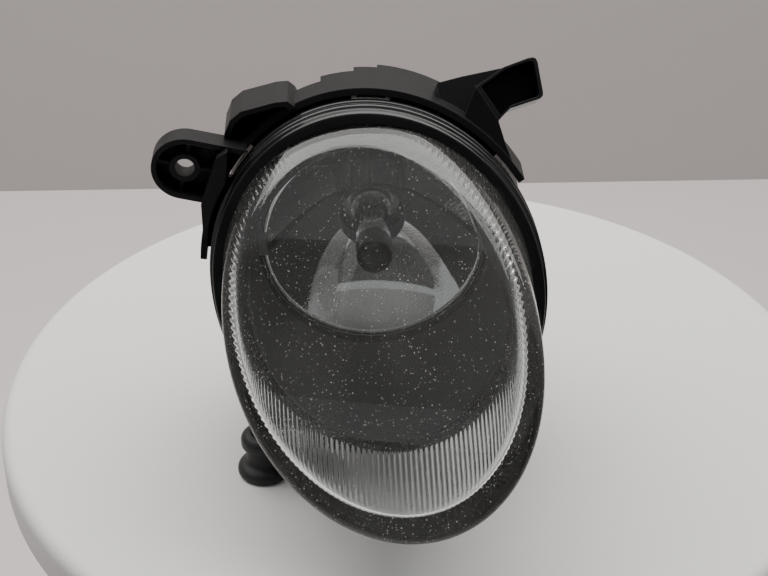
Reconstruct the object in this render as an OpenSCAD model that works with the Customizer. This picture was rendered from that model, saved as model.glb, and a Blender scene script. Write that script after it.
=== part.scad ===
// Front fog light with a slanted clear lens, a tilting reflector and a twist-lock bulb.
// Millimetres. +Z is up, the light shines towards -Y, and +X is to the right seen from the front.
// The origin is on the optical axis, in the plane of the lens rim. "Reach" below is the distance
// forward of the origin along the optical axis, so a point at reach f has y = -f.

/* [Lens] */
// Radius of the lens wall at the origin
lens_r = 49.6; // [46:0.2:53]
// Thickness of the lens wall
lens_wall = 3; // [2:0.25:4]
// Reach of the middle of the lens front
lens_reach = 35.5; // [30:0.5:40]
// Lean of the lens front from upright, in degrees
front_rake = 39.2; // [30:0.1:48]
// Sideways sweep of the lens front, in degrees
front_sweep = 20.3; // [0:0.1:25]

/* [Rim] */
// Lean of the rim plane from upright, in degrees
rim_rake = 19.6; // [15:0.1:25]
// Sideways sweep of the rim plane, in degrees
rim_sweep = 9.4; // [0:0.1:12]

/* [Housing] */
// Outer radius of the housing tube
tube_r = 51.3; // [50.5:0.1:52]
// Distance from the origin back to the rear plate's outer face
housing_depth = 60; // [58:1:66]
// Radius of the hole in the mounting ear
ear_hole_r = 3.2; // [2.6:0.1:4]

/* [Reflector] */
// Focal length of the reflector
focal_length = 17; // [16:0.5:18]
// Radius of the reflector's opening
reflector_r = 36; // [34:0.5:37]

/* [Aim] */
// Pitch of the adjuster's thread
thread_pitch = 1.5; // [1:0.25:2]

/* [Hidden] */
$fn = 96;

big = 320;                                // larger than the lamp, for cutting blocks
draft = 0.03;                             // the lens wall narrows by this much for each mm of reach
bore_draft = 0.06;                        // its fluted inside narrows faster, from this reach forward
bore_from = -8;
bulge_r = 485;                            // radius of the lens front's gentle curve
fit = 0.15;                               // gap between moulded pieces that nest
run = 0.05;                               // radial gap of a turning or sliding fit

// Stack at the rim: each is an offset from the rim plane, negative behind it
lip_front = 1;                            // front face of the retaining ring
flange_front = -2;
flange_back = -4.5;
tube_front = -5.5;                        // front edge of the housing tube
ring_back = -8;
hook_back = -14;
hook_angles = [36, 91, 146, 198, 262, 322];

lip_reach = -4.16;                        // the bezel's lip: where its edge crosses the axis
lip_rake = 31.8;

ring_lip_r = 53.2;
ring_r = 54.3;
tube_in_r = 47.3;
tube_back = -48;                          // reach where the tube starts to narrow
plate_r = 40;
wall = 2.5;

skirt_in_r = 55.4;
skirt_r = 57.6;
// The skirt's bays: start and end angle from +X, rising to +Z, and how far each reaches back
bays = [[35, 66, -18], [66, 88.5, -25.2], [88.5, 96.2, -23], [96.2, 107.2, -20], [107.2, 140, -14.2],
        [140, 178, -24]];

ear = [-61.2, 32.4];                      // centre of the ear's hole, in X and Z
ear_r = 10.8;
ear_dir = 167;                            // the way that the ear points
ear_back = -30;
ear_depth = 8;
ear_boss_r = 5;

arm = [43.2, 28, 58.4];                   // a point on the front of the upper right arm
arm_tilt = 32;                            // the arm's pocket slopes down to the rear
arm_depth = 14;

peg = [-38.6, -2];                        // centre line of the locating peg, in X and Y
peg_r = 4;
shelf_top = -52.6;                        // the shelf that carries the peg
shelf_under = -55.2;
bush_foot = -72;

pivot_reach = -31;                        // the reflector tips about the lamp filament
pin_r = 2;
pivot_boss_r = 5;
pivot_boss_proud = 1.5;
bush_r = 3.2;                             // the nylon bushes that the pins turn in
adj = [14, 35];                           // adjuster screw, in X and Z
adj_nut_reach = -37.5;
adj_r = 2.5;
adj_shank_r = 3;
clip_back = -49.7;
seal_back = -56.9;
ball_r = 4.2;

vent = [-26, 20];                         // the breather, in X and Z

neck_r = 17.5;
neck_bore_r = 12.2;
neck_back = -67;
lug_r = 14.6;
seal_in_r = 9.8;                          // floor of the groove for the bulb holder's seal
vertex_reach = pivot_reach - focal_length;
bulb_tip_reach = -15.5;
glass_r = 6;

module turned(points) { rotate([90, 0, 0]) rotate_extrude() polygon(points); }
module prism(back, front) {
    translate([0, -back, 0]) rotate([90, 0, 0]) linear_extrude(front - back) children();
}
module disc(r, back, front) { prism(back, front) circle(r); }

// Everything between two offsets from the rim plane
module rim_slab(back, front) {
    translate([0, -front, 0]) rotate([-rim_rake, 0, -rim_sweep]) translate([-big / 2, 0, -big / 2])
        cube([big, (front - back) * cos(rim_rake) * cos(rim_sweep), big]);
}

// A ring about the optical axis, cut off parallel to the rim
module rim_ring(r_in, r_out, back, front) {
    intersection() {
        rim_slab(back, front);
        difference() {
            disc(r_out, -60, 40);
            disc(r_in, -61, 41);
        }
    }
}

module sector(from, to) {
    steps = 24;
    prism(-90, 60) polygon([[0, 0], for (i = [0:steps]) let (a = from + (to - from) * i / steps)
        90 * [cos(a), sin(a)]]);
}

function lens_wall_r(reach) = lens_r - draft * reach;

// The solid cone within the lens wall's outer face, grown by a margin
module lens_cone(margin) {
    turned([[0, -45], [lens_wall_r(-45) + margin, -45], [lens_wall_r(90) + margin, 90], [0, 90]]);
}

function lens_bore_r(reach) = lens_r - lens_wall - bore_draft * (reach - bore_from);

// The conical space inside the lens wall
module lens_bore() {
    turned([[0, -45], [lens_bore_r(-45), -45], [lens_bore_r(90), 90], [0, 90]]);
}

// Everything behind the lens front, moved inwards by inset
module behind_front(inset) {
    translate([0, -lens_reach, 0]) rotate([-front_rake, 0, -front_sweep]) translate([0, bulge_r, 0])
        rotate([0, 90, 0]) cylinder(r = bulge_r - inset, h = big, center = true, $fn = 400);
}

module lens() {
    color([0.86, 0.9, 0.9, 0.4]) difference() {
        union() {
            intersection() {
                lens_cone(0);
                behind_front(0);
                rim_slab(flange_back, 110);
            }
            rim_ring(tube_in_r - 2, tube_r + 0.2, flange_back, flange_front);
        }
        intersection() {
            lens_bore();
            behind_front(lens_wall);
        }
    }
}

module lens_seal() {
    color("dimgray") rim_ring(tube_in_r + 0.8, tube_r - 0.3, tube_front, flange_back);
}

module retaining_ring() {
    color([0.07, 0.07, 0.07]) {
        difference() {
            union() {
                rim_ring(lens_r - 4, ring_lip_r, flange_front - 1, lip_front);
                rim_ring(tube_r + 0.4, ring_r, -4, flange_front);
                rim_ring(tube_r + 0.4, ring_r - 0.7, -5.2, -3.9);
                rim_ring(tube_r + 0.4, ring_r, ring_back, -5.1);
                for (a = hook_angles) hook_tongue(a);
            }
            lens_cone(fit);
            rim_ring(40, tube_r + 0.4, -30, flange_front + 0.1);
            for (a = hook_angles) hook_window(a);
        }
    }
}

module hook_tongue(a) {
    intersection() {
        rim_ring(tube_r + 0.4, ring_r - 0.9, hook_back, ring_back + 0.2);
        sector(a - 5, a + 5);
    }
}

module hook_window(a) {
    intersection() {
        rim_ring(tube_r - 1, ring_r + 1, hook_back + 1.6, ring_back - 1.2);
        sector(a - 3, a + 3);
    }
}

module hook_nub(a) {
    intersection() {
        rim_ring(tube_r - 1, ring_r - 1.1, hook_back + 2, ring_back - 2);
        sector(a - 2.6, a + 2.6);
    }
}

// Everything behind the bezel's front lip, which reaches further forward below the axis
module behind_bezel_lip() {
    translate([0, -lip_reach, 0]) rotate([-lip_rake, 0, -rim_sweep]) translate([-big / 2, 0, -big / 2])
        cube([big, big, big]);
}

// A black funnel from the reflector's mouth to the rim, then a straight lip inside the lens
module inner_bezel() {
    funnel_back = -26;
    funnel_r = 38.5;
    funnel_front = 7;
    spread = 0.14;
    skin = 1.2;
    lip_r = funnel_r + spread * (funnel_front - funnel_back);
    flange_r = tube_in_r - fit;
    color([0.05, 0.05, 0.055]) difference() {
        union() {
            intersection() {
                turned([[funnel_r, funnel_back], [funnel_r + skin, funnel_back],
                        [lip_r + skin, funnel_front], [lip_r + skin, 60], [lip_r, 60],
                        [lip_r, funnel_front]]);
                union() {
                    rim_slab(-60, tube_front);
                    intersection() {
                        behind_bezel_lip();
                        rim_slab(-60, 60);
                    }
                }
            }
            rim_ring(funnel_r - 1, flange_r, tube_front - 1.6, tube_front);
        }
        turned([[0, -70], [funnel_r, -70], [funnel_r, funnel_back], [lip_r, funnel_front],
                [lip_r, 70], [0, 70]]);
    }
}

// The rear bowl, its neck and its inner space
module bowl() {
    difference() {
        union() {
            intersection() {
                turned([[0, -housing_depth], [plate_r, -housing_depth], [tube_r, tube_back],
                        [tube_r, 40], [0, 40]]);
                rim_slab(-140, tube_front);
            }
            disc(neck_r, neck_back, -housing_depth + 1);
        }
        turned([[0, -housing_depth + wall], [plate_r - 3, -housing_depth + wall],
                [tube_in_r, tube_back + 0.5], [tube_in_r, 41], [0, 41]]);
    }
}

module bulb_seat_cut() {
    turned([[0, -housing_depth - 3], [lug_r + 0.5, -housing_depth - 3], [lug_r + 0.5, -40], [0, -40]]);
    disc(neck_bore_r, neck_back - 1, -housing_depth - 2);
    for (i = [0:2]) rotate([0, -(40 + 120 * i), 0]) lug_slot();
}

module lug_slot() {
    intersection() {
        disc(lug_r + 0.4, neck_back - 1, -housing_depth - 2);
        sector(90 - 13, 90 + 13);
    }
}

module skirt() {
    for (bay = bays) intersection() {
        rim_ring(skirt_in_r, skirt_r, bay[2], -6.5);
        sector(bay[0], bay[1]);
    }
    difference() {
        intersection() {
            rim_ring(tube_r - 0.5, skirt_r - 0.5, hook_back - 3.5, hook_back - 1);
            sector(bays[0][0], 178);
        }
        for (a = hook_angles) sector(a - 7, a + 7);
    }
}

// The flat cheek on the left and the web below the arm
module cheek() {
    difference() {
        prism(-32, -19)
            polygon([[-47, 40], [-50.6, 37.6], [-56.4, 21], [-56.4, 3.6], [-53.6, -1], [-50, 4]]);
        disc(skirt_in_r + 0.5, -60, 60);
    }
    difference() {
        intersection() {
            rim_slab(-10, -7.6);
            prism(-60, 20)
                polygon([[27.6, 48], [32, 59], [38.9, 49.6], [41.4, 42.3], [46, 32], [44, 30.7]]);
        }
        disc(skirt_in_r, -60, 60);
    }
}

// A stadium that runs from the ear's end in to the skirt
module ear_shape(grow) {
    length = 26;
    translate(ear) rotate(ear_dir) union() {
        circle(ear_r + grow);
        translate([-length, -ear_r - grow]) square([length, 2 * (ear_r + grow)]);
    }
}

module mounting_ear() {
    rim = 1.7;
    front = ear_back + ear_depth;
    difference() {
        prism(ear_back, front) ear_shape(0);
        difference() {
            prism(ear_back + 2.4, front + 1) ear_shape(-rim);
            prism(ear_back, front - 1.2) translate(ear) circle(ear_boss_r);
            for (a = [0:90:270]) prism(ear_back, front - 2.6) translate(ear) rotate(ear_dir + a)
                translate([0, -0.7]) square([16, 1.4]);
        }
        disc(skirt_in_r + 1, -70, 60);
        prism(ear_back - 1, front + 1) translate(ear) circle(ear_hole_r);
    }
}

// Places a plate of the arm, drawn square on to the pocket, between two depths
module arm_plate(back, front) {
    translate(arm) rotate([-arm_tilt, 0, 0]) prism(back, front) children();
}

module arm_outline(inset) {
    middle = [1.4, -1];
    reach = 8.5;                          // from the middle to the nearest edge
    translate(middle) scale(1 - inset / reach) translate(-middle)
        polygon([[-10.8, -1], [-1.9, 5.1], [5.7, 7.8], [7.4, 8.1], [8.4, 7.7], [8.9, 6.6],
                 [10.5, -3.2], [10.4, -4.2], [9.6, -5], [0, -8], [-3.8, -11.8]]);
}

// The arm at the upper right, a pocket open to the front, and the web that joins it to the skirt
module upper_arm() {
    difference() {
        union() {
            difference() {
                arm_plate(-arm_depth, 0) arm_outline(0);
                arm_plate(-arm_depth + 1.6, 1) arm_outline(1.15);
            }
            arm_plate(-arm_depth, -1.6)
                polygon([[-22.9, 0.6], [-15.2, 2.5], [-1.9, 5.1], [-10.4, -1.2], [-7, -6.6],
                         [-3.4, -11.2], [-5, -17], [-12, -19], [-21, -10]]);
        }
        disc(skirt_r - 0.8, -80, 60);
    }
}

// A hood above the left of the tube, open to the front
module hood() {
    back = -43;
    front = -27;
    thick = 2;
    difference() {
        prism(back, front) hood_outline();
        prism(back + thick, front + 1) polygon([[-44, 32], [-46.8, 36.4], [-46.4, 41.6], [-44.7, 45.8],
            [-41.7, 48.4], [-31.2, 51.4], [-28.4, 51.5], [-27.2, 50.2], [-26, 47]]);
        disc(skirt_r - 0.8, -80, 60);
    }
    difference() {
        prism(back, back + thick) hood_outline();
        disc(tube_r - 0.6, -80, 60);
    }
}

module hood_outline() {
    polygon([[-46, 32], [-48.6, 36], [-48.2, 42], [-46.2, 47], [-42.5, 50.2], [-31.5, 53.2], [-27.6, 53.5],
             [-25.4, 51.6], [-23.8, 48]]);
}

// The bracket under the tube: a web down to a shelf, which carries the locating peg
module peg_bracket() {
    left = peg[0];
    width = 14;
    rear = 13;
    difference() {
        union() {
            prism(-rear, -rear + 2.6)
                polygon([[left, -26], [left, shelf_under], [left + width, shelf_under],
                         [left + width, -40]]);
            for (x = [left, left + width - 2]) translate([x, 0, 0]) rotate([90, 0, 90])
                linear_extrude(2)
                    polygon([[rear, -34], [6, -44], [peg[1], shelf_under], [rear, shelf_under]]);
            translate([left, peg[1], shelf_under]) cube([width, rear - peg[1], shelf_top - shelf_under]);
        }
        disc(tube_r - 0.6, -60, 60);
        difference() {
            disc(ring_r + 1, -rear + 3, 60);
            disc(tube_r - 0.6, -60, 60);
        }
    }
    translate([peg[0], peg[1], bush_foot + 1]) cylinder(r = peg_r, h = shelf_top - bush_foot - 1);
    translate([left, peg[1] - peg_r, shelf_under]) cube([width, 2 * peg_r, shelf_top - shelf_under]);
}

module adjuster_boss() {
    translate([adj[0], 0, adj[1]]) disc(7, -housing_depth, tube_back - 2);
}

module pivot_boss(side) {
    inner = tube_in_r - 3.2;
    outer = tube_r + pivot_boss_proud;
    translate([side > 0 ? inner : -outer, -pivot_reach, 0]) rotate([0, 90, 0])
        cylinder(r = pivot_boss_r, h = outer - inner);
}

module housing() {
    color([0.11, 0.11, 0.115]) difference() {
        union() {
            bowl();
            skirt();
            mounting_ear();
            upper_arm();
            hood();
            cheek();
            peg_bracket();
            adjuster_boss();
            pivot_boss(-1);
            pivot_boss(1);
            for (a = hook_angles) hook_nub(a);
            rear_ribs();
        }
        bulb_seat_cut();
        translate([adj[0], 0, adj[1]]) disc(adj_shank_r + run, -80, -40);
        translate([-70, -pivot_reach, 0]) rotate([0, 90, 0]) cylinder(r = pin_r, h = 140);
        translate([vent[0], 0, vent[1]]) disc(2, -80, -50);
    }
}

// Stiffening ribs from the neck out to the edge of the rear plate
module rear_ribs() {
    for (a = [200, 250, 290, 340, 100]) intersection() {
        rotate([0, -a, 0]) translate([neck_r - 1, 0, -1])
            cube([plate_r - neck_r + 10, housing_depth + 4, 2]);
        turned([[neck_r - 1, -housing_depth - 4], [neck_r + 4, -housing_depth - 4],
                [plate_r + 1.5, -housing_depth], [tube_r - 0.2, tube_back - 1],
                [tube_r - 2, tube_back - 1], [plate_r - 2, -housing_depth + 1],
                [neck_r - 1, -housing_depth + 1]]);
    }
}

module vent_cap() {
    cap_r = 5.6;
    edge = 0.8;
    back = -housing_depth - 5;
    under = -housing_depth - 1;
    stem_r = 1.95;
    stem_bore_r = 0.8;
    color([0.16, 0.16, 0.16]) translate([vent[0], 0, vent[1]]) difference() {
        union() {
            turned([[0, back], [cap_r - edge, back], [cap_r, back + edge], [cap_r, under], [0, under]]);
            disc(3, under - 1, -housing_depth);
            disc(stem_r, under, -housing_depth + 4);
        }
        disc(stem_bore_r, back + 2, -housing_depth + 5);
        turned([[3.6, back + 1.6], [4.5, back + 1.6], [4.5, -housing_depth], [3.6, -housing_depth]]);
    }
}

// A thin disc on the inner end of the breather's stem
module vent_membrane() {
    color("white") translate([vent[0], 0, vent[1]])
        disc(1.9, -housing_depth + 4, -housing_depth + 4.4);
}

// A spool-shaped rubber bush on the locating peg
module peg_bush() {
    bore = peg_r + run;
    color([0.05, 0.045, 0.045]) translate([peg[0], peg[1], bush_foot]) rotate_extrude()
        polygon([[bore, 0], [8.2, 0], [8.9, 0.5], [9.2, 1.4], [9.2, 2.4], [8.8, 3.5], [7.6, 4.4],
                 [6, 5.2], [5.8, 6], [5.8, 9.4], [6.2, 10.6], [7.2, 11.4], [7.7, 12.4],
                 [7.7, 14.4], [7.2, 15.6], [6.4, 16.4], [bore, 16.8]]);
}

module pivot_pin(side) {
    tip = reflector_r + 2.5;
    head = tube_r + pivot_boss_proud;
    head_r = pin_r + 1.6;
    head_height = 1.4;
    color("silver") translate([0, -pivot_reach, 0]) rotate([0, side * 90, 0]) {
        translate([0, 0, tip]) cylinder(r = pin_r, h = head - tip);
        translate([0, 0, head]) cylinder(r = head_r, h = head_height);
    }
}

module pivot_pin_left() { pivot_pin(-1); }
module pivot_pin_right() { pivot_pin(1); }

module pivot_bush(side) {
    color("ivory") translate([0, -pivot_reach, 0]) rotate([0, side * 90, 0]) difference() {
        union() {
            translate([0, 0, reflector_r + 2]) cylinder(r = bush_r, h = 5.6);
            translate([0, 0, reflector_r + 6.6]) cylinder(r = bush_r + 1, h = 1);
        }
        translate([0, 0, reflector_r]) cylinder(r = pin_r + run, h = 10);
    }
}

module pivot_bush_left() { pivot_bush(-1); }
module pivot_bush_right() { pivot_bush(1); }

// Points along the reflector's parabola, from radius r0 out to r1
function parabola(r0, r1, n, off) = [for (i = [0:n]) let (r = r0 + (r1 - r0) * i / n)
    [r, vertex_reach + r * r / (4 * focal_length) + off]];

module reflector() {
    hole_r = 11.5;
    skin = 1.8;
    back_off = 2.6;                       // the bowl's rear face, measured along the axis
    trunnion = 33;
    rim_f = vertex_reach + reflector_r * reflector_r / (4 * focal_length);
    color([0.8, 0.8, 0.82]) difference() {
        union() {
            turned(concat([[hole_r, vertex_reach - 5]], parabola(hole_r, reflector_r, 12, 0),
                          [[reflector_r + skin, rim_f], [reflector_r + skin, rim_f - 2]],
                          [for (i = [12:-1:0])
                              let (r = hole_r + 2 + (reflector_r - hole_r - 1) * i / 12)
                                  [r, vertex_reach + r * r / (4 * focal_length) - back_off]],
                          [[hole_r + 2, vertex_reach - 5]]));
            for (side = [-1, 1]) translate([0, -pivot_reach, 0]) rotate([0, side * 90, 0])
                translate([0, 0, trunnion]) cylinder(r = pivot_boss_r, h = reflector_r + 6.4 - trunnion);
            adjuster_fork();
        }
        turned(concat([[0, vertex_reach - 9], [hole_r, vertex_reach - 9]],
                      parabola(hole_r, reflector_r, 12, 0), [[reflector_r, 0], [0, 0]]));
        for (side = [-1, 1]) translate([0, -pivot_reach, 0]) rotate([0, side * 90, 0])
            translate([0, 0, reflector_r + 2]) cylinder(r = bush_r, h = 10);
    }
}

// Two plates that hold the adjuster's ball nut between them
module adjuster_fork() {
    half = 6.2;
    gap = ball_r + 0.12;
    plate = 2.1;
    difference() {
        translate([adj[0] - half, -adj_nut_reach - gap - plate, 22])
            cube([2 * half, 2 * (gap + plate), adj[1] + 5 - 22]);
        translate([adj[0] - half - 1, -adj_nut_reach - gap, adj[1] - 4.9])
            cube([2 * half + 2, 2 * gap, 20]);
        translate([adj[0], 0, adj[1]]) disc(adj_r + 0.9, -60, -20);
        turned(concat(parabola(0, reflector_r + 1.4, 14, -1.3), [[reflector_r + 1.4, 0], [0, 0]]));
    }
}

module adjuster_screw() {
    tip = -34.4;
    shoulder = -48;
    crests = floor((tip - shoulder) / thread_pitch);
    thread_depth = 0.45;
    groove = 0.8;
    color("silver") translate([adj[0], 0, adj[1]]) union() {
        disc(adj_r - thread_depth, shoulder, tip);
        for (i = [0:crests - 1]) translate([0, thread_pitch * (i + 0.5) - tip, 0]) rotate([90, 0, 0])
            cylinder(r = adj_r, h = thread_pitch / 2, center = true);
        difference() {
            disc(adj_shank_r, -housing_depth - 6, shoulder);
            for (cut = [[clip_back - 0.1, clip_back + 0.9], [seal_back - 0.1, seal_back + 1.9]])
                difference() {
                    disc(adj_shank_r + 1, cut[0], cut[1]);
                    disc(adj_shank_r - groove, cut[0] - 1, cut[1] + 1);
                }
        }
    }
}

module adjuster_knob() {
    knob_r = 8;
    front = -housing_depth - 0.4;
    back = front - 8;
    socket_floor = -housing_depth - 6;
    flutes = 12;
    flute_r = 1.3;
    key_r = 3;
    color([0.14, 0.14, 0.14]) translate([adj[0], 0, adj[1]]) difference() {
        turned([[adj_shank_r, front], [knob_r - 0.6, front], [knob_r, front - 0.6], [knob_r, back + 1],
                [knob_r - 0.8, back], [0, back], [0, socket_floor], [adj_shank_r, socket_floor]]);
        for (i = [0:flutes - 1]) rotate([0, 360 * i / flutes, 0]) translate([knob_r + 0.7, 0, 0])
            disc(flute_r, back - 1, front - 1.2);
        prism(back - 1, socket_floor - 0.6) circle(key_r, $fn = 6);
    }
}

module adjuster_clip() {
    color("gray") translate([adj[0], 0, adj[1]]) difference() {
        disc(5, clip_back, clip_back + 0.8);
        disc(2.2, clip_back - 1, clip_back + 2);
        translate([-1.4, -clip_back - 4, -8]) cube([2.8, 8, 8]);
    }
}

module adjuster_seal() {
    color("black") translate([adj[0], 0, adj[1]]) difference() {
        disc(adj_shank_r, seal_back, seal_back + 1.8);
        disc(2.2, seal_back - 1, seal_back + 3);
    }
}

module adjuster_nut() {
    color("ivory") translate([adj[0], -adj_nut_reach, adj[1]]) difference() {
        union() {
            sphere(r = ball_r);
            translate([-4.4, -1.6, -4.4]) cube([8.8, 3.2, 8.8]);
        }
        rotate([90, 0, 0]) cylinder(r = adj_r + run, h = 20, center = true);
    }
}

// Twist-lock holder with its right-angled plug socket
module bulb_base() {
    body_r = 10.5;
    flange_r = neck_r - 1.5;
    pocket_r = 8.2;                       // holds the bulb's steel shell
    shell = [20, 15];                     // the plug socket, across and deep
    shell_mid = 80;
    shell_wall = 1.7;
    shell_foot = -32;
    plug_depth = 20;
    latch = 6;                            // the ramp that holds the plug, across
    color([0.2, 0.2, 0.21]) difference() {
        union() {
            disc(neck_bore_r - 0.4, neck_back - 0.5, -housing_depth - 0.4);
            disc(flange_r, neck_back - 3.5, neck_back - 0.3);
            for (i = [0:2]) rotate([0, -120 * i, 0]) base_lug();
            disc(body_r, -shell_mid - 6, neck_back - 3);
            translate([-shell[0] / 2, shell_mid - shell[1] / 2, shell_foot])
                cube([shell[0], shell[1], -shell_foot]);
            translate([-latch / 2, shell_mid - shell[1] / 2 - 2.4, shell_foot + 6])
                cube([latch, 3, 8]);
        }
        turned([[seal_in_r, neck_back + 1], [neck_bore_r + 0.8, neck_back + 1],
                [neck_bore_r + 0.8, neck_back + 3.4], [seal_in_r, neck_back + 3.4]]);
        translate([-shell[0] / 2 + shell_wall, shell_mid - shell[1] / 2 + shell_wall, shell_foot - 1])
            cube([shell[0] - 2 * shell_wall, shell[1] - 2 * shell_wall, plug_depth + 1]);
        disc(pocket_r, -housing_depth - 3, -40);
    }
}

module base_lug() {
    intersection() {
        disc(lug_r, -housing_depth - 2.7, -housing_depth - 0.4);
        sector(90 - 11, 90 + 11);
    }
}

module bulb_seal() {
    color("black")
        turned([[seal_in_r, neck_back + 1.1], [neck_bore_r - run, neck_back + 1.1],
                [neck_bore_r - run, neck_back + 3.3], [seal_in_r, neck_back + 3.3]]);
}

module bulb_ferrule() {
    color("silver") difference() {
        union() {
            disc(8.2 - run, -housing_depth - 3, -housing_depth + 3);
            disc(10.4, -housing_depth - 0.4, -housing_depth + 0.6);
            disc(7, -housing_depth + 3, -housing_depth + 8);
        }
        disc(glass_r, -housing_depth - 1, -40);
    }
}

module bulb_glass() {
    tip = bulb_tip_reach;
    back = -housing_depth - 1;
    color([0.9, 0.92, 0.92, 0.4])
        turned([[0, back], [glass_r, back], [glass_r, tip - 4], [glass_r - 0.5, tip - 2.2],
                [glass_r - 1.7, tip - 0.9], [glass_r - 3.4, tip - 0.2], [0, tip], [0, tip - 1.4],
                [glass_r - 2.4, tip - 2.2], [glass_r - 1.2, tip - 4], [glass_r - 1.2, back + 9],
                [0, back + 9]]);
}

module bulb_filament() {
    turns = 9;
    coil_length = 4.8;
    color("dimgray") union() {
        for (i = [0:turns - 1])
            translate([0, -pivot_reach - coil_length / 2 + coil_length * i / (turns - 1), 0])
                rotate([90, 0, 0]) rotate_extrude($fn = 24) translate([0.62, 0])
                    circle(0.17, $fn = 13);
        translate([0, -pivot_reach + 2.6, 0.62]) rotate([90, 0, 0]) cylinder(r = 0.12, h = 5.2, $fn = 16);
    }
}

module bulb_leads() {
    color("silver") {
        translate([0, 0, 0.75]) disc(0.3, -52, pivot_reach - 2.6);
        translate([-3.2, 0, 0]) disc(0.35, -52, pivot_reach + 5);
        translate([-3.2, -pivot_reach - 5, -0.3]) rotate([0, 90, 0]) cylinder(r = 0.3, h = 3.4, $fn = 24);
        translate([0, -pivot_reach - 3, -0.3]) rotate([90, 0, 0]) cylinder(r = 0.3, h = 2.2, $fn = 24);
    }
}

module bulb_terminals() {
    color("gold") for (x = [-4.2, 4.2]) translate([x - 1.4, 79.6, -26]) cube([2.8, 0.8, 14]);
}

housing();
retaining_ring();
lens();
lens_seal();
inner_bezel();
vent_cap();
vent_membrane();
peg_bush();
pivot_pin_left();
pivot_pin_right();
reflector();
pivot_bush_left();
pivot_bush_right();
adjuster_screw();
adjuster_knob();
adjuster_clip();
adjuster_seal();
adjuster_nut();
bulb_base();
bulb_seal();
bulb_ferrule();
bulb_glass();
bulb_filament();
bulb_leads();
bulb_terminals();
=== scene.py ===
"""A front fog light: black moulded housing, slanted clear lens, bright reflector and capped bulb.

Sizes are in millimetres. A reach is a distance forward of the rim's centre, towards -Y, and an
offset is a reach measured from the slanted plane of the rim.
"""

import math

import bpy
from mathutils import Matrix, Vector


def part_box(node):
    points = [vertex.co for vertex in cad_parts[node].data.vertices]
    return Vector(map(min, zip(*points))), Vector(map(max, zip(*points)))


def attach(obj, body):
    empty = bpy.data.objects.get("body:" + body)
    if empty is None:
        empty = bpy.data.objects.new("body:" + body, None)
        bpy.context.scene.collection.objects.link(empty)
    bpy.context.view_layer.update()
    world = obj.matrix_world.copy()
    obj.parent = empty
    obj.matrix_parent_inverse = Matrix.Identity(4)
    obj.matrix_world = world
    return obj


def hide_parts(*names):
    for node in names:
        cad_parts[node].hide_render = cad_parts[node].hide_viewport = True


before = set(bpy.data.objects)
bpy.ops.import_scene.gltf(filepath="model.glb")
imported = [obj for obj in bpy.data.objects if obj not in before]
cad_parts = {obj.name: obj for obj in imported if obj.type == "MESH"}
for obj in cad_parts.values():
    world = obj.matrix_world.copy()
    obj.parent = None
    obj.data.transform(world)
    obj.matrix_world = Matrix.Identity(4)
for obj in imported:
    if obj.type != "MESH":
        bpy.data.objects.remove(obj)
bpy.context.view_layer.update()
bpy.ops.object.select_all(action="DESELECT")

# ---------------------------------------------------------------------------------------------
# Housing. One injection-moulded shell of glass-filled polypropylene, satin black, with the ear,
# hood, arm, skirt and peg bracket grown from it. A fine spark-eroded grain, rubbed smoother
# where hands hold it, and a little dust lying on the faces that look up.


class Wire:
    """A value on its way through a finish. Sums on it add Math nodes, and node() adds any other."""

    def __init__(self, tree, socket=None):
        self.tree = tree
        self.socket = socket

    def node(self, kind, settings=None, values=None, out=0):
        made = self.tree.nodes.new("ShaderNode" + kind)
        for name, value in (settings or {}).items():
            setattr(made, name, value)
        for place, value in (values or {}).items():
            if isinstance(value, Wire):
                self.tree.links.new(value.socket, made.inputs[place])
            else:
                made.inputs[place].default_value = value
        return Wire(self.tree, made.outputs[out])

    def math(self, operation, *values):
        return self.node("Math", {"operation": operation}, dict(enumerate(values)))

    def __add__(self, other):
        return self.math("ADD", self, other)

    def __sub__(self, other):
        return self.math("SUBTRACT", self, other)

    def __rsub__(self, other):
        return self.math("SUBTRACT", other, self)

    def __mul__(self, other):
        return self.math("MULTIPLY", self, other)

    def __truediv__(self, other):
        return self.math("DIVIDE", self, other)

    __radd__ = __add__
    __rmul__ = __mul__


class Finish:
    """One material: its wiring starts at .wire, and put() leads a wire to the shader."""

    def __init__(self, name, **even):
        self.material = bpy.data.materials.new(name)
        self.material.use_nodes = True
        self.tree = self.material.node_tree
        self.shader = self.tree.nodes["Principled BSDF"]
        for place, value in even.items():
            self.shader.inputs[place.replace("_", " ")].default_value = value
        self.wire = Wire(self.tree)
        self.place = self.wire.node("TexCoord", out="Object")

    def put(self, place, wire):
        self.tree.links.new(wire.socket, self.shader.inputs[place])

    def cloud(self, scale, detail=3.0, rough=0.5):
        """Soft random patches from 0 to 1; scale is patches to the metre."""
        values = {"Vector": self.place, "Scale": scale, "Detail": detail, "Roughness": rough}
        return self.wire.node("TexNoise", values=values)

    def between(self, value, low, high, to_low=0.0, to_high=1.0):
        """The value's span from low to high, stretched to another span and held at its ends."""
        return self.wire.node("MapRange", values={0: value, 1: low, 2: high, 3: to_low, 4: to_high})

    def mixed(self, share, first, second):
        """A colour that goes from the first to the second as share goes from 0 to 1."""
        return self.wire.node("Mix", {"data_type": "RGBA"}, {0: share, 6: first, 7: second}, out=2)

    def facing_up(self):
        """1 on faces that look straight up, 0 on upright ones."""
        normal = self.wire.node("NewGeometry", out="Normal")
        return self.wire.node("SeparateXYZ", values={0: normal}, out="Z")

    def relief(self, height, depth, edge=0.0, strength=1.0):
        """Raises the surface by height times depth in metres, on edges rounded to a radius."""
        values = {"Height": height, "Distance": depth, "Strength": strength}
        if edge:
            values["Normal"] = self.wire.node("Bevel", {"samples": 6}, {"Radius": edge})
        self.put("Normal", self.wire.node("Bump", values=values))

    def paint(self, *names):
        """Gives the finish to carried CAD nodes."""
        for name in names:
            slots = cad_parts[name].data.materials
            slots.clear()
            slots.append(self.material)


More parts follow.
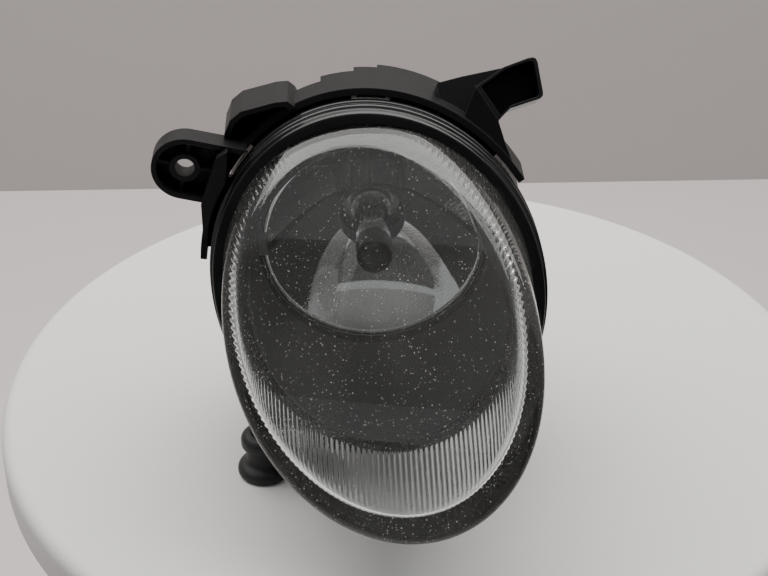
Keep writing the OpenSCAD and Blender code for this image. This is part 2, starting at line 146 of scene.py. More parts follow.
mm = 0.001
housing_black = (0.0125, 0.0125, 0.0132, 1)
housing_dust = (0.085, 0.08, 0.075, 1)

housing_finish = Finish("housing moulded black", Specular_IOR_Level=0.2)
handled = housing_finish.cloud(38, detail=4, rough=0.6)
grain = housing_finish.cloud(3600, detail=2)
settled = housing_finish.between(housing_finish.facing_up(), 0.35, 1.0)
dusty = settled * housing_finish.between(housing_finish.cloud(900, detail=6, rough=0.75), 0.4, 0.8)
housing_finish.put("Base Color", housing_finish.mixed(dusty * 0.05, housing_black, housing_dust))
housing_finish.put("Roughness", housing_finish.between(handled, 0.3, 0.7, 0.34, 0.42) + dusty * 0.1)
housing_finish.relief(grain, 0.02 * mm, edge=0.45 * mm, strength=0.7)
housing_finish.paint("housing")

# ---------------------------------------------------------------------------------------------
# Rear breather. A snap-in cap of softer black plastic over a disc of white breathable film,
# which lets the lamp dry out while it keeps water away.
cap_finish = Finish("breather cap black", Base_Color=(0.02, 0.02, 0.02, 1))
cap_finish.put("Roughness", cap_finish.between(cap_finish.cloud(260), 0.3, 0.7, 0.5, 0.68))
cap_finish.relief(cap_finish.cloud(2600), 0.02 * mm, edge=0.3 * mm)
cap_finish.paint("vent_cap")

film_finish = Finish("breather film")
fibres = film_finish.cloud(5200, detail=5, rough=0.8)
film_finish.put("Base Color", film_finish.mixed(fibres, (0.55, 0.55, 0.53, 1), (0.82, 0.82, 0.8, 1)))
film_finish.put("Roughness", film_finish.between(fibres, 0.2, 0.8, 0.75, 0.95))
film_finish.relief(fibres, 0.03 * mm)
film_finish.paint("vent_membrane")

# ---------------------------------------------------------------------------------------------
# Pivot pins. Two short turned steel pins with flat heads, pressed in through the housing's sides.
# The aiming screw, its clip and the bulb's metal shell share the same zinc-plated steel.
steel_finish = Finish("zinc plated steel", Metallic=1.0)
plating = steel_finish.cloud(900, detail=4, rough=0.6)
steel_finish.put("Base Color", steel_finish.mixed(plating, (0.42, 0.42, 0.43, 1), (0.66, 0.66, 0.64, 1)))
steel_finish.put("Roughness", steel_finish.between(plating, 0.3, 0.7, 0.22, 0.4))
steel_finish.relief(steel_finish.cloud(6000), 0.004 * mm, edge=0.15 * mm)
steel_finish.paint("pivot_pin_left", "pivot_pin_right", "adjuster_screw", "adjuster_clip",
                   "bulb_ferrule")

# ---------------------------------------------------------------------------------------------
# Peg bush. A spool of soft black rubber pushed up the locating peg under the tube, so the lamp
# sits in its bracket without a rattle. Its rims are rounded by the mould, with a faint bloom in patches.


def spun(name, outline, centre, upright, steps=128):
    """Spins an open outline of (radius, height) points in mm, from axis to axis or closed on itself.

    The axis goes through centre, along +Z where upright and along -Y, the way the lamp shines, if not.
    """
    bpy.ops.mesh.primitive_circle_add(vertices=len(outline), fill_type="NOTHING")
    piece = bpy.context.object
    piece.name = piece.data.name = name
    for point, (radius, height) in zip(piece.data.vertices, outline):
        if upright:
            point.co = (centre[0] + radius * mm, centre[1], centre[2] + height * mm)
        else:
            point.co = (centre[0] + radius * mm, centre[1] - height * mm, centre[2])
    bpy.ops.object.mode_set(mode="EDIT")
    bpy.ops.mesh.select_all(action="SELECT")
    axis = (0, 0, 1) if upright else (0, 1, 0)
    bpy.ops.mesh.spin(steps=steps, angle=2 * math.pi, center=centre, axis=axis)
    bpy.ops.mesh.select_all(action="SELECT")
    bpy.ops.mesh.remove_doubles(threshold=0.002 * mm)
    bpy.ops.mesh.delete_loose(use_verts=True, use_edges=True, use_faces=False)
    bpy.ops.mesh.select_all(action="SELECT")
    bpy.ops.mesh.normals_make_consistent(inside=False)
    bpy.ops.object.mode_set(mode="OBJECT")
    settle(piece)
    return piece


def settle(piece, crease=38):
    """Puts a piece's place into its mesh, smooths all but its creases, and lets go of it."""
    bpy.ops.object.transform_apply(location=True, rotation=True, scale=True)
    bpy.ops.object.shade_smooth_by_angle(angle=math.radians(crease))
    piece.select_set(False)


bush_low, bush_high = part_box("peg_bush")
bush_centre = ((bush_low.x + bush_high.x) / 2, (bush_low.y + bush_high.y) / 2, bush_low.z)
bush_outline = [
    (4.0, 0.3), (4.3, 0), (7.9, 0), (8.5, 0.2), (8.95, 0.7), (9.15, 1.3), (9.2, 1.9), (9.1, 2.6),
    (8.8, 3.3), (8.3, 3.9), (7.5, 4.4), (6.7, 4.8), (6.1, 5.2), (5.85, 5.7), (5.8, 6.3), (5.8, 9.2),
    (5.9, 9.9), (6.2, 10.5), (6.8, 11.0), (7.3, 11.5), (7.6, 12.1), (7.7, 12.8), (7.7, 14.2),
    (7.55, 14.9), (7.2, 15.5), (6.7, 16.1), (6.1, 16.5), (5.4, 16.7), (4.4, 16.8), (4.0, 16.5),
]
bush = spun("rubber_bush", bush_outline, bush_centre, upright=True)
rubber_finish = Finish("black rubber", Specular_IOR_Level=0.4)
bloom = rubber_finish.cloud(160, detail=5, rough=0.65)
rubber_black = (0.008, 0.008, 0.009, 1)
rubber_bloom = (0.035, 0.033, 0.031, 1)
rubber_finish.put("Base Color", rubber_finish.mixed(bloom * 0.6, rubber_black, rubber_bloom))
rubber_finish.put("Roughness", rubber_finish.between(bloom, 0.3, 0.7, 0.42, 0.66))
rubber_finish.relief(rubber_finish.cloud(2200, detail=4), 0.03 * mm)
bush.data.materials.append(rubber_finish.material)
rubber_finish.paint("lens_seal", "adjuster_seal", "bulb_seal")
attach(bush, "lamp_case")
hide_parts("peg_bush")

# ---------------------------------------------------------------------------------------------
# Reflector. A moulded bowl, a true parabola about the filament, with trunnions and the aiming
# fork at its back. Its inside is vacuum-coated with aluminium under a clear lacquer.
bowl_finish = Finish("reflector moulding", Base_Color=(0.2, 0.2, 0.21, 1))
bowl_finish.put("Roughness", bowl_finish.between(bowl_finish.cloud(300), 0.3, 0.7, 0.35, 0.55))
bowl_finish.relief(bowl_finish.cloud(3000), 0.01 * mm, edge=0.3 * mm)
bowl_finish.paint("reflector")

bowl_focus = 17.0
bowl_vertex = -48.0
bowl_hole_r = 11.55
bowl_mouth_r = 35.9
coating_proud = 0.12
coating_thick = 0.06
coating_steps = 64


def bowl_reach(radius, proud=0.0):
    return bowl_vertex + radius * radius / (4 * bowl_focus) + proud


coating_outline = []
for step in range(coating_steps + 1):
    radius = bowl_hole_r + (bowl_mouth_r - bowl_hole_r) * step / coating_steps
    coating_outline.append((radius, bowl_reach(radius, coating_proud)))
mouth_reach = bowl_reach(bowl_mouth_r)
mouth_roll = [(36.2, 0.2), (36.8, 0.3), (37.4, 0.2), (37.75, -0.1), (37.4, 0.05), (36.2, 0.02)]
coating_outline += [(radius, mouth_reach + proud) for radius, proud in mouth_roll]
for step in range(coating_steps, -1, -1):
    radius = bowl_hole_r + (bowl_mouth_r - bowl_hole_r) * step / coating_steps
    coating_outline.append((radius, bowl_reach(radius, coating_proud - coating_thick)))
coating = spun("reflector_coating_skin", coating_outline, (0, 0, 0), upright=False, steps=192)
coating_finish = Finish("bright aluminium coating", Metallic=1.0, Coat_Weight=0.25, Coat_Roughness=0.04)
haze = coating_finish.cloud(75, detail=4, rough=0.6)
coating_finish.put("Base Color", coating_finish.mixed(
    haze, (0.72, 0.73, 0.74, 1), (0.86, 0.87, 0.87, 1)))
coating_finish.put("Roughness", coating_finish.between(haze, 0.35, 0.75, 0.02, 0.07))
coating_finish.relief(coating_finish.cloud(120, detail=2), 0.012 * mm)
coating.data.materials.append(coating_finish.material)
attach(coating, "reflector_unit")

# ---------------------------------------------------------------------------------------------
# Pivot bushes and the aiming nut. Small natural nylon mouldings, milky and slightly waxy, that
# snap into the reflector.
nylon_finish = Finish("natural nylon", Subsurface_Weight=0.2, Subsurface_Scale=1.5 * mm)
milk = nylon_finish.cloud(420)
nylon_finish.put("Base Color", nylon_finish.mixed(milk, (0.62, 0.59, 0.5, 1), (0.74, 0.71, 0.62, 1)))
nylon_finish.put("Roughness", nylon_finish.between(milk, 0.3, 0.7, 0.35, 0.5))
nylon_finish.relief(nylon_finish.cloud(1800), 0.01 * mm, edge=0.2 * mm)
nylon_finish.paint("pivot_bush_left", "pivot_bush_right", "adjuster_nut")

# ---------------------------------------------------------------------------------------------
# Aiming knob. A fluted black plastic cap with a hexagon socket, moulded over the screw's rear end
# so that fingers or a key can turn it from behind.
knob_finish = Finish("knob black", Base_Color=(0.02, 0.02, 0.021, 1))
knob_finish.put("Roughness", knob_finish.between(knob_finish.cloud(240), 0.3, 0.7, 0.36, 0.52))
knob_finish.relief(knob_finish.cloud(3000), 0.015 * mm, edge=0.4 * mm)
knob_finish.paint("adjuster_knob")

# ---------------------------------------------------------------------------------------------
# Bulb. A twist-lock halogen bulb: dark grey heatproof base with its plug socket, steel shell, and
# a quartz tube whose tip is dipped in black paint so that no light leaves it forwards.
base_finish = Finish("bulb base dark grey")
speckle = base_finish.cloud(1500, detail=5, rough=0.7)
base_finish.put("Base Color", base_finish.mixed(
    speckle, (0.028, 0.028, 0.03, 1), (0.055, 0.054, 0.053, 1)))
base_finish.put("Roughness", base_finish.between(speckle, 0.3, 0.7, 0.42, 0.6))
base_finish.relief(speckle, 0.015 * mm, edge=0.35 * mm)
base_finish.paint("bulb_base")

tungsten_finish = Finish("tungsten wire", Metallic=1.0)
drawn = tungsten_finish.cloud(4000)
tungsten_finish.put("Base Color", tungsten_finish.mixed(
    drawn, (0.2, 0.19, 0.19, 1), (0.36, 0.35, 0.34, 1)))
tungsten_finish.put("Roughness", tungsten_finish.between(drawn, 0.3, 0.7, 0.3, 0.5))
tungsten_finish.paint("bulb_filament", "bulb_leads")

brass_finish = Finish("tinned brass", Metallic=1.0)
tin = brass_finish.cloud(1100)
brass_finish.put("Base Color", brass_finish.mixed(tin, (0.6, 0.52, 0.36, 1), (0.68, 0.66, 0.6, 1)))
brass_finish.put("Roughness", brass_finish.between(tin, 0.3, 0.7, 0.2, 0.36))
brass_finish.relief(brass_finish.cloud(5000), 0.004 * mm, edge=0.1 * mm)
brass_finish.paint("bulb_terminals")

tube_low, tube_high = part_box("bulb_glass")
tube_r = (tube_high.x - tube_low.x) / 2 / mm
tip = -tube_low.y / mm
back = -tube_high.y / mm
quartz = 1.2
quartz_tip = 1.3
dome = 4
cap_length = 12.5
cap_edge = 0.4
dome_steps = 14
tube_outline = []
for step in range(dome_steps + 1):
    turn = math.pi / 2 * step / dome_steps
    tube_outline.append((tube_r * math.sin(turn), tip - dome * (1 - math.cos(turn))))
tube_outline += [(tube_r, tip - 12), (tube_r, tip - 24), (tube_r, back), (tube_r - quartz, back),
                 (tube_r - quartz, tip - 24), (tube_r - quartz, tip - 12)]
for step in range(dome_steps, -1, -1):
    turn = math.pi / 2 * step / dome_steps
    tube_outline.append(((tube_r - quartz) * math.sin(turn),
                         tip - quartz_tip - (dome - 1) * (1 - math.cos(turn))))
tube = spun("bulb_tube", tube_outline, (0, 0, 0), upright=False, steps=96)

tube_finish = Finish("quartz tube", Base_Color=(0.97, 0.98, 0.98, 1), IOR=1.46, Transmission_Weight=1.0)
tube_finish.put("Roughness", tube_finish.between(tube_finish.cloud(500), 0.3, 0.7, 0.0, 0.03))
along = tube_finish.wire.node("SeparateXYZ", values={0: tube_finish.place}, out="Y")
ragged = (tube_finish.cloud(420) - 0.5) * (1.2 * mm)
cap_end = (cap_length - tip) * mm
dipped = tube_finish.between(along + ragged, cap_end, cap_end + cap_edge * mm, 1.0, 0.0)
cap_paint = tube_finish.wire.node("BsdfPrincipled", values={
    "Base Color": (0.009, 0.009, 0.01, 1),
    "Roughness": tube_finish.between(tube_finish.cloud(700), 0.3, 0.7, 0.28, 0.45),
})
tube_mix = tube_finish.wire.node("MixShader", values={
    0: dipped, 1: Wire(tube_finish.tree, tube_finish.shader.outputs[0]), 2: cap_paint})
tube_finish.tree.links.new(tube_mix.socket, tube_finish.tree.nodes["Material Output"].inputs[0])
tube.data.materials.append(tube_finish.material)
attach(tube, "bulb")
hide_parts("bulb_glass")

# ---------------------------------------------------------------------------------------------
# Inner bezel. A thin black funnel that masks the gap between the reflector and the housing tube.
# Its flange lies on the rim plane and is held by the lens; below, a lip reaches on inside the lens.


rim_rake = math.radians(19.6)
rim_sweep = math.radians(9.4)


def rim_reach(x, z, rake=rim_rake):
    """How far forward the slanted rim plane lies at a place seen from the front, in mm."""
    return math.tan(rim_sweep) * x - math.tan(rake) / math.cos(rim_sweep) * z


def ringed(name, outline, stations, around):
    """A ring about the optical axis whose section, outline(angle), changes as it goes round.

    A torus is the start, with one loop of edges for each station of the section. Every point is
    then drawn out to its place, (radius, reach) in mm.
    """
    bpy.ops.mesh.primitive_torus_add(major_segments=around, minor_segments=stations,
                                     major_radius=1, minor_radius=0.25)
    piece = bpy.context.object
    piece.name = piece.data.name = name
    sections = [outline(2 * math.pi * i / around) for i in range(around)]
    for point in piece.data.vertices:
        x, y, z = point.co
        turn = round(math.atan2(y, x) / (2 * math.pi) * around) % around
        station = round(math.atan2(z, math.hypot(x, y) - 1) / (2 * math.pi) * stations) % stations
        radius, reach = sections[turn][station]
        angle = 2 * math.pi * turn / around
        point.co = (radius * math.cos(angle) * mm, -reach * mm, radius * math.sin(angle) * mm)
    return piece


def softened(piece, width, segments=3):
    """Rounds a piece's edges with a Bevel modifier, applied."""
    bpy.ops.object.modifier_add(type="BEVEL")
    bevel = piece.modifiers[-1]
    bevel.width = width * mm
    bevel.segments = segments
    bevel.limit_method = "ANGLE"
    bevel.angle_limit = math.radians(35)
    bpy.ops.object.modifier_apply(modifier=bevel.name)


bezel_back = -26.0
bezel_back_r = 38.5
bezel_lip_r = 43.12
bezel_bend = 7.0
bezel_skin = 1.2
bezel_flange_r = 47.1
bezel_flange_front = -5.55
bezel_flange_back = -7.1
bezel_lip_reach = -4.16
bezel_lip_rake = math.radians(31.8)
bezel_steps = 6


def bezel_section(angle):
    """The funnel's section: straight out to its bend, then a lip inside the lens, longest below."""
    across, up = math.cos(angle), math.sin(angle)

    def wall_r(reach):
        share = (reach - bezel_back) / (bezel_bend - bezel_back)
        return bezel_back_r + (bezel_lip_r - bezel_back_r) * min(1.0, share)

    def along_wall(offset, extra):
        """Where the wall, moved outwards by extra, meets a plane at that offset from the rim."""
        radius = bezel_lip_r
        for _ in range(6):
            reach = offset + rim_reach((radius + extra) * across, (radius + extra) * up)
            radius = wall_r(reach)
        return reach

    lip_front = bezel_lip_reach + rim_reach(bezel_lip_r * across, bezel_lip_r * up, bezel_lip_rake)
    front = max(along_wall(bezel_flange_front, 0.0), lip_front)
    inner, outer = [], []
    for i in range(bezel_steps + 1):
        reach = bezel_back + (front - bezel_back) * i / bezel_steps
        inner.append((wall_r(reach), reach))
    inner[0] = (bezel_back_r + 0.02, bezel_back + 0.3)
    lip = [(wall_r(front) + 0.3, front + 0.22), (wall_r(front) + 0.85, front + 0.22),
           (wall_r(front) + bezel_skin, front - 0.1)]
    seat_front = along_wall(bezel_flange_front, bezel_skin)
    seat_back = along_wall(bezel_flange_back, bezel_skin)
    step = (wall_r(seat_front) + bezel_skin, max(seat_front, seat_back + 0.2))
    flange_front = bezel_flange_front + rim_reach(bezel_flange_r * across, bezel_flange_r * up)
    flange = [step, (bezel_flange_r, flange_front), (bezel_flange_r, flange_front - 1.5)]
    for i in range(bezel_steps + 1):
        reach = seat_back + (bezel_back + 0.5 - seat_back) * i / bezel_steps
        outer.append((wall_r(reach) + bezel_skin, reach))
    roll = [(bezel_back_r + bezel_skin - 0.2, bezel_back + 0.12),
            (bezel_back_r + bezel_skin / 2, bezel_back), (bezel_back_r + 0.22, bezel_back + 0.06)]
    return (inner + lip + flange + outer + roll)[::-1]


bezel = ringed("bezel_funnel", bezel_section, len(bezel_section(0.0)), 288)
settle(bezel)
bezel_finish = Finish("bezel satin black", Specular_IOR_Level=0.5)
flow = bezel_finish.cloud(24, detail=4, rough=0.6)
fine = bezel_finish.cloud(2800, detail=3)
bezel_finish.put("Base Color", bezel_finish.mixed(
    flow, (0.014, 0.014, 0.015, 1), (0.026, 0.026, 0.026, 1)))
bezel_finish.put("Roughness", bezel_finish.between(flow, 0.3, 0.7, 0.34, 0.46))
bezel_finish.relief(fine, 0.02 * mm, strength=0.6)
bezel.data.materials.append(bezel_finish.material)
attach(bezel, "lamp_case")
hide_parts("inner_bezel")

# ---------------------------------------------------------------------------------------------
# Lens. One thick pressed piece of clear glass: a deep wall with a slanted, gently domed front and
# a broad rounded shoulder between them. Fine upright flutes inside the wall scatter stray light.
lens_wall_at_rim = 49.6
lens_draft = 0.03
glass_wall = 3.0
front_reach = 35.5
front_rake = math.radians(39.2)
front_sweep = math.radians(20.3)
dome_r = 485.0
bore_draft = 0.06
bore_from = -8.0
shoulder = 5.0
inner_shoulder = 3.6
shoulder_more_above = 4.0
inner_more_above = 3.0
lens_flange_r = 51.5
lens_flange_front = -2.0
lens_flange_back = -4.5
flange_edge = 0.2
flutes = 160
flute_depth = 0.5
lens_around = 960
front_rings = 14
shoulder_rings = 9
wall_rings = 5
inner_rings = 12


def lens_front(x, z, inset):
    """Reach of the domed front at a place seen from the front, for the face or one inside it."""
    along, lift = math.cos(front_sweep), math.sin(front_sweep) * x
    tilt_c, tilt_s = math.cos(front_rake), math.sin(front_rake)
    a0, a1 = lift * tilt_c - z * tilt_s - dome_r, along * tilt_c
    b0, b1 = lift * tilt_s + z * tilt_c, along * tilt_s
    half_b = a1 * a0 + b1 * b0
    rest = a0 * a0 + b0 * b0 - (dome_r - inset) ** 2
    square = along * along
    return front_reach + (half_b + math.sqrt(half_b * half_b - square * rest)) / square


def outer_wall_r(reach):
    return lens_wall_at_rim - lens_draft * reach


def bore_r(reach):
    return lens_wall_at_rim - glass_wall - bore_draft * (reach - bore_from)


def lens_corner(angle, inset, wall_r, length):
    """The points of the rounded corner between a face of the front and a face of the wall."""
    across, up = math.cos(angle), math.sin(angle)
    radius = wall_r(0.0) - 1.5
    for _ in range(8):
        radius = wall_r(lens_front(radius * across, radius * up, inset))
    reach = lens_front(radius * across, radius * up, inset)
    near = radius - length * 0.8
    slope = (reach - lens_front(near * across, near * up, inset)) / (radius - near)
    down_wall = (wall_r(-1.0) - wall_r(0.0), -1.0)
    size = math.hypot(*down_wall)
    down_wall = (down_wall[0] / size, down_wall[1] / size)
    size = math.hypot(1, slope)
    in_front = (-1 / size, -slope / size)
    half = math.acos(down_wall[0] * in_front[0] + down_wall[1] * in_front[1]) / 2
    middle = (down_wall[0] + in_front[0], down_wall[1] + in_front[1])
    size = math.hypot(*middle)
    to_centre = length / math.cos(half)
    centre = (radius + middle[0] / size * to_centre, reach + middle[1] / size * to_centre)
    begin = (radius + in_front[0] * length - centre[0], reach + in_front[1] * length - centre[1])
    end = (radius + down_wall[0] * length - centre[0], reach + down_wall[1] * length - centre[1])
    spread = math.pi - 2 * half
    arc = []
    for i in range(shoulder_rings + 1):
        share = i / shoulder_rings
        first = math.sin((1 - share) * spread) / math.sin(spread)
        second = math.sin(share * spread) / math.sin(spread)
        arc.append((centre[0] + begin[0] * first + end[0] * second,
                    centre[1] + begin[1] * first + end[1] * second))
    return arc


def lens_section(angle):
    """The lens cut along one ray from its axis: front, shoulder, wall, flange and back inside."""
    across, up = math.cos(angle), math.sin(angle)

    def rim(radius, offset):
        return (radius, offset + rim_reach(radius * across, radius * up))

    upper = max(0.0, math.sin(angle)) ** 2
    outer = lens_corner(angle, 0.0, outer_wall_r, shoulder + shoulder_more_above * upper)
    inner = lens_corner(angle, glass_wall, bore_r, inner_shoulder + inner_more_above * upper)
    section = []
    for i in range(front_rings):
        radius = outer[0][0] * (i / front_rings) ** 0.8
        section.append((radius, lens_front(radius * across, radius * up, 0.0)))
    section += outer
    seat = rim(lens_wall_at_rim, lens_flange_front)
    top = outer[-1]
    for i in range(1, wall_rings + 1):
        reach = top[1] + (seat[1] - top[1]) * i / wall_rings
        section.append((outer_wall_r(reach), reach))
    section += [rim(lens_flange_r - flange_edge, lens_flange_front),
                rim(lens_flange_r, lens_flange_front - flange_edge),
                rim(lens_flange_r, lens_flange_back + flange_edge),
                rim(lens_flange_r - flange_edge, lens_flange_back)]
    flute = flute_depth * (0.5 - 0.5 * math.cos(flutes * angle))
    root = rim(47.0, lens_flange_back)
    section.append((bore_r(root[1]) + flute + 0.3, root[1]))
    crown = inner[-1]
    for i in range(wall_rings + 1):
        reach = root[1] + 0.3 + (crown[1] - root[1] - 0.3) * i / wall_rings
        section.append((bore_r(reach) + flute, reach))
    for i in range(shoulder_rings - 1, -1, -1):
        keep = max(0.0, (i / shoulder_rings - 0.55) / 0.45)
        section.append((inner[i][0] + flute * keep, inner[i][1]))
    for i in range(inner_rings - 1, -1, -1):
        radius = inner[0][0] * (i / inner_rings) ** 0.8
        section.append((radius, lens_front(radius * across, radius * up, glass_wall)))
    return section


lens_sections = [lens_section(2 * math.pi * i / lens_around) for i in range(lens_around)]
lens_rings = len(lens_sections[0]) - 1
bpy.ops.mesh.primitive_uv_sphere_add(segments=lens_around, ring_count=lens_rings, radius=1)
lens = bpy.context.object
lens.name = lens.data.name = "clear_lens"
for point in lens.data.vertices:
    x, y, z = point.co
    turn = round(math.atan2(y, x) / (2 * math.pi) * lens_around) % lens_around
    ring = round(math.acos(max(-1.0, min(1.0, z))) / math.pi * lens_rings)
    radius, reach = lens_sections[turn][ring]
    angle = 2 * math.pi * turn / lens_around
    point.co = (radius * math.cos(angle) * mm, -reach * mm, radius * math.sin(angle) * mm)
settle(lens, crease=50)

lens_finish = Finish("clear pressed glass", Base_Color=(0.955, 0.975, 0.965, 1), IOR=1.5,
                     Transmission_Weight=1.0)
smear = lens_finish.cloud(55, detail=5, rough=0.6)
lens_finish.put("Roughness", lens_finish.between(smear, 0.45, 0.8, 0.0, 0.05))
lens_finish.relief(lens_finish.cloud(60, detail=2), 0.02 * mm, strength=0.5)
grit_scale = 800.0
grains = {"Vector": lens_finish.place, "Scale": grit_scale}
grit = lens_finish.wire.node("TexVoronoi", values=grains)
grit_kind = lens_finish.wire.node("TexVoronoi", values=grains, out=1)
grit_pick = lens_finish.wire.node("SeparateColor", values={0: grit_kind}, out=0)
grain_size = grit_pick * 0.1 + 0.05
specks = lens_finish.between(grit / grain_size, 0.9, 1.25, 1.0, 0.0)
specks = specks * lens_finish.between(lens_finish.cloud(70), 0.3, 0.6, 0.3, 1.0)
dust_film = lens_finish.between(lens_finish.cloud(26, detail=5, rough=0.6), 0.3, 0.7, 0.01, 0.05)
speck_coat = lens_finish.wire.node("BsdfDiffuse", values={
    "Color": (0.68, 0.67, 0.64, 1), "Roughness": 0.6})
lens_mix = lens_finish.wire.node("MixShader", values={
    0: specks + dust_film, 1: Wire(lens_finish.tree, lens_finish.shader.outputs[0]), 2: speck_coat})
lens_finish.tree.links.new(lens_mix.socket, lens_finish.tree.nodes["Material Output"].inputs[0])
lens.data.materials.append(lens_finish.material)
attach(lens, "lamp_case")
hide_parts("lens")

# ---------------------------------------------------------------------------------------------
# Retaining ring. A springy gloss black ring that traps the lens flange and its seal against the
# housing. Two fine beads run round it, and six hooks snap over the nubs on the tube.
ring_bore = lens_wall_at_rim + 0.15
ring_outline = [
    (ring_bore, -1.9), (ring_bore - 0.02, 0.8), (ring_bore + 0.25, 1.0), (52.6, 1.0), (53.0, 0.9),
    (53.2, 0.55), (53.2, -1.5), (53.3, -1.85), (53.9, -2.05), (54.2, -2.25), (54.3, -2.6),
    (54.3, -3.4), (54.15, -3.75), (53.7, -3.95), (53.6, -4.2), (53.6, -4.9), (53.75, -5.1),
    (54.1, -5.2), (54.3, -5.45), (54.3, -7.7), (54.1, -8.0), (51.9, -8.0), (51.7, -7.8),
    (51.7, -2.1), (51.5, -1.9),
]


def ring_section(angle):
    """The ring's section, from (radius, offset from the rim); its bore narrows with the lens."""
    across, up = math.cos(angle), math.sin(angle)
    points = []
    for radius, offset in ring_outline:
        reach = offset + rim_reach(radius * across, radius * up)
        draft = lens_draft * reach if radius <= ring_bore else 0.0
        points.append((radius - draft, reach))
    return points[::-1]


ring = ringed("retaining_ring_bead", ring_section, len(ring_section(0.0)), 384)
bpy.ops.object.mode_set(mode="EDIT")
bpy.ops.mesh.select_all(action="SELECT")
bpy.ops.mesh.normals_make_consistent(inside=False)
bpy.ops.object.mode_set(mode="OBJECT")
settle(ring, crease=60)

hook_angles = [36, 91, 146, 198, 262, 322]
hook_columns = 10
hook_half_width = 5
hook_inner_r = 51.72
hook_thick = 1.66
hook_rows = [-14.0, -13.6, -12.4, -9.2, -7.4]
hook_pieces = []
for hook_angle in hook_angles:
    bpy.ops.mesh.primitive_grid_add(x_subdivisions=hook_columns,
                                    y_subdivisions=len(hook_rows) - 1, size=2)
    hook = bpy.context.object
    bpy.ops.object.mode_set(mode="EDIT")
    bpy.ops.mesh.select_all(action="DESELECT")
    bpy.ops.object.mode_set(mode="OBJECT")
    for face in hook.data.polygons:
        face.select = abs(face.center.x) < 0.6 and 0.0 < face.center.y < 0.5
    bpy.ops.object.mode_set(mode="EDIT")
    bpy.ops.mesh.delete(type="FACE")
    bpy.ops.mesh.select_all(action="SELECT")
    bpy.ops.mesh.extrude_region_move(TRANSFORM_OT_translate={"value": (0, 0, 1)})
    bpy.ops.mesh.select_all(action="SELECT")
    bpy.ops.mesh.normals_make_consistent(inside=False)
    bpy.ops.object.mode_set(mode="OBJECT")
    for point in hook.data.vertices:
        row = round((point.co.y + 1) / 2 * (len(hook_rows) - 1))
        angle = math.radians(hook_angle + hook_half_width * point.co.x)
        radius = hook_inner_r + hook_thick * point.co.z
        across, up = math.cos(angle), math.sin(angle)
        reach = hook_rows[row] + rim_reach(radius * across, radius * up)
        point.co = (radius * across * mm, -reach * mm, radius * up * mm)
    bpy.ops.object.mode_set(mode="EDIT")
    bpy.ops.mesh.select_all(action="SELECT")
    bpy.ops.mesh.normals_make_consistent(inside=False)
    bpy.ops.object.mode_set(mode="OBJECT")
    softened(hook, 0.25, 2)
    settle(hook)
    hook_pieces.append(hook)
for hook in hook_pieces:
    hook.select_set(True)
ring.select_set(True)
bpy.context.view_layer.objects.active = ring
bpy.ops.object.join()
ring.select_set(False)

ring_finish = Finish("ring gloss black", Specular_IOR_Level=0.55)
rubbed = ring_finish.cloud(90, detail=5, rough=0.65)
ring_black = (0.006, 0.006, 0.0065, 1)
ring_rubbed = (0.013, 0.013, 0.013, 1)
ring_finish.put("Base Color", ring_finish.mixed(rubbed, ring_black, ring_rubbed))
ring_finish.put("Roughness", ring_finish.between(rubbed, 0.3, 0.75, 0.13, 0.3))
ring_finish.relief(ring_finish.cloud(1800, detail=3), 0.006 * mm)
ring.data.materials.append(ring_finish.material)
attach(ring, "lamp_case")
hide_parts("retaining_ring")

# ---------------------------------------------------------------------------------------------
# Table, floor and wall. The foot of the peg bush stands on a round white table, over a pale floor
# and in front of a warm grey wall.
table_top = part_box("peg_bush")[0].z


def matt(name, colour, variation, scale):
    made = Finish(name)
    darker = tuple(channel * variation for channel in colour[:3]) + (1,)
    made.put("Base Color", made.mixed(made.cloud(scale, detail=3), darker, colour))
    made.shader.inputs["Roughness"].default_value = 0.75
    return made


table_thick = 0.02
bpy.ops.mesh.primitive_cylinder_add(vertices=256, radius=0.152, depth=table_thick,
                                    location=(0.016, 0.05, table_top - table_thick / 2))
table = bpy.context.object
table.name = "round_table"
softened(table, 5.0, 6)
settle(table)
table.data.materials.append(matt("table white", (0.8, 0.785, 0.78, 1), 0.97, 9).material)

table_height = 0.75
set_size = 9
bpy.ops.mesh.primitive_plane_add(size=set_size, location=(0, 0, table_top - table_height))
floor = bpy.context.object
floor.name = "pale_floor"
settle(floor)
floor.data.materials.append(matt("floor pale", (0.76, 0.69, 0.68, 1), 0.97, 2).material)

bpy.ops.mesh.primitive_plane_add(
    size=set_size, location=(0, 1.6, table_top - table_height + set_size / 2),
    rotation=(math.pi / 2, 0, 0))
wall = bpy.context.object
wall.name = "warm_wall"
settle(wall)
wall.data.materials.append(matt("wall warm grey", (0.46, 0.436, 0.422, 1), 0.97, 2).material)

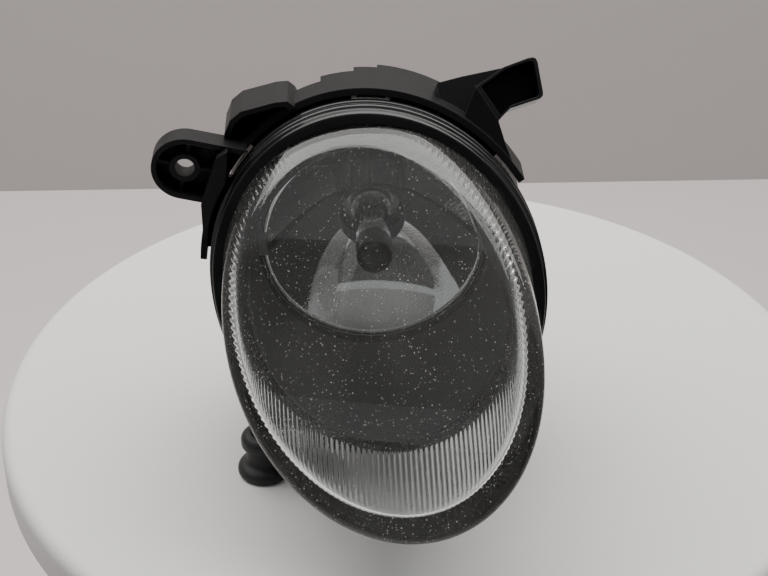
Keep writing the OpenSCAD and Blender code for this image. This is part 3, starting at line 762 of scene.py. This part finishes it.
# ---------------------------------------------------------------------------------------------
# Light: one large soft panel overhead and pale air all round. Two flags stand in front, unseen,
# so that the bowl and the front of the lens have something dark to reflect.
overhead = bpy.data.lights.new("overhead_panel", "AREA")
overhead.shape = "RECTANGLE"
overhead.size, overhead.size_y = 3.0, 1.7
overhead.energy = 68
overhead.color = (1.0, 0.99, 0.97)
overhead_holder = bpy.data.objects.new("overhead_panel", overhead)
bpy.context.scene.collection.objects.link(overhead_holder)
overhead_holder.location = (-0.1, 0.62, 1.5)

flag_width = 2.8
flag_distance = 0.85
flags = [("black_flag", -0.1, 0.6, 0.02), ("grey_flag", 0.72, 1.55, 0.16)]
for flag_name, flag_low, flag_high, shade in flags:
    flag_middle = (0, -flag_distance, (flag_low + flag_high) / 2)
    bpy.ops.mesh.primitive_plane_add(size=1, location=flag_middle, rotation=(math.pi / 2, 0, 0))
    flag = bpy.context.object
    flag.name = flag_name
    flag.scale = (flag_width, flag_high - flag_low, 1)
    flag.visible_camera = False
    settle(flag)
    flag_cloth = matt(flag_name + " cloth", (shade, shade, shade, 1), 0.8, 40)
    flag.data.materials.append(flag_cloth.material)

air = bpy.data.worlds.new("pale air")
bpy.context.scene.world = air
air.use_nodes = True
air_light = air.node_tree.nodes["Background"]
air_light.inputs["Color"].default_value = (0.83, 0.83, 0.84, 1)
air_light.inputs["Strength"].default_value = 0.4

# ---------------------------------------------------------------------------------------------
# Camera, from the front and above.
view_azimuth = math.radians(-1.9)
view_elevation = math.radians(32)
view_distance = 0.5
lens_length = 72.9
camera = bpy.data.objects.new("camera", bpy.data.cameras.new("camera"))
bpy.context.scene.collection.objects.link(camera)
camera.location = (view_distance * math.sin(view_azimuth) * math.cos(view_elevation),
                   -view_distance * math.cos(view_azimuth) * math.cos(view_elevation),
                   view_distance * math.sin(view_elevation))
camera.rotation_euler = (math.pi / 2 - view_elevation, 0, view_azimuth)
camera.data.lens = lens_length
camera.data.shift_x = 0.0091
camera.data.clip_start = 0.01
camera.data.clip_end = 20
bpy.context.scene.camera = camera
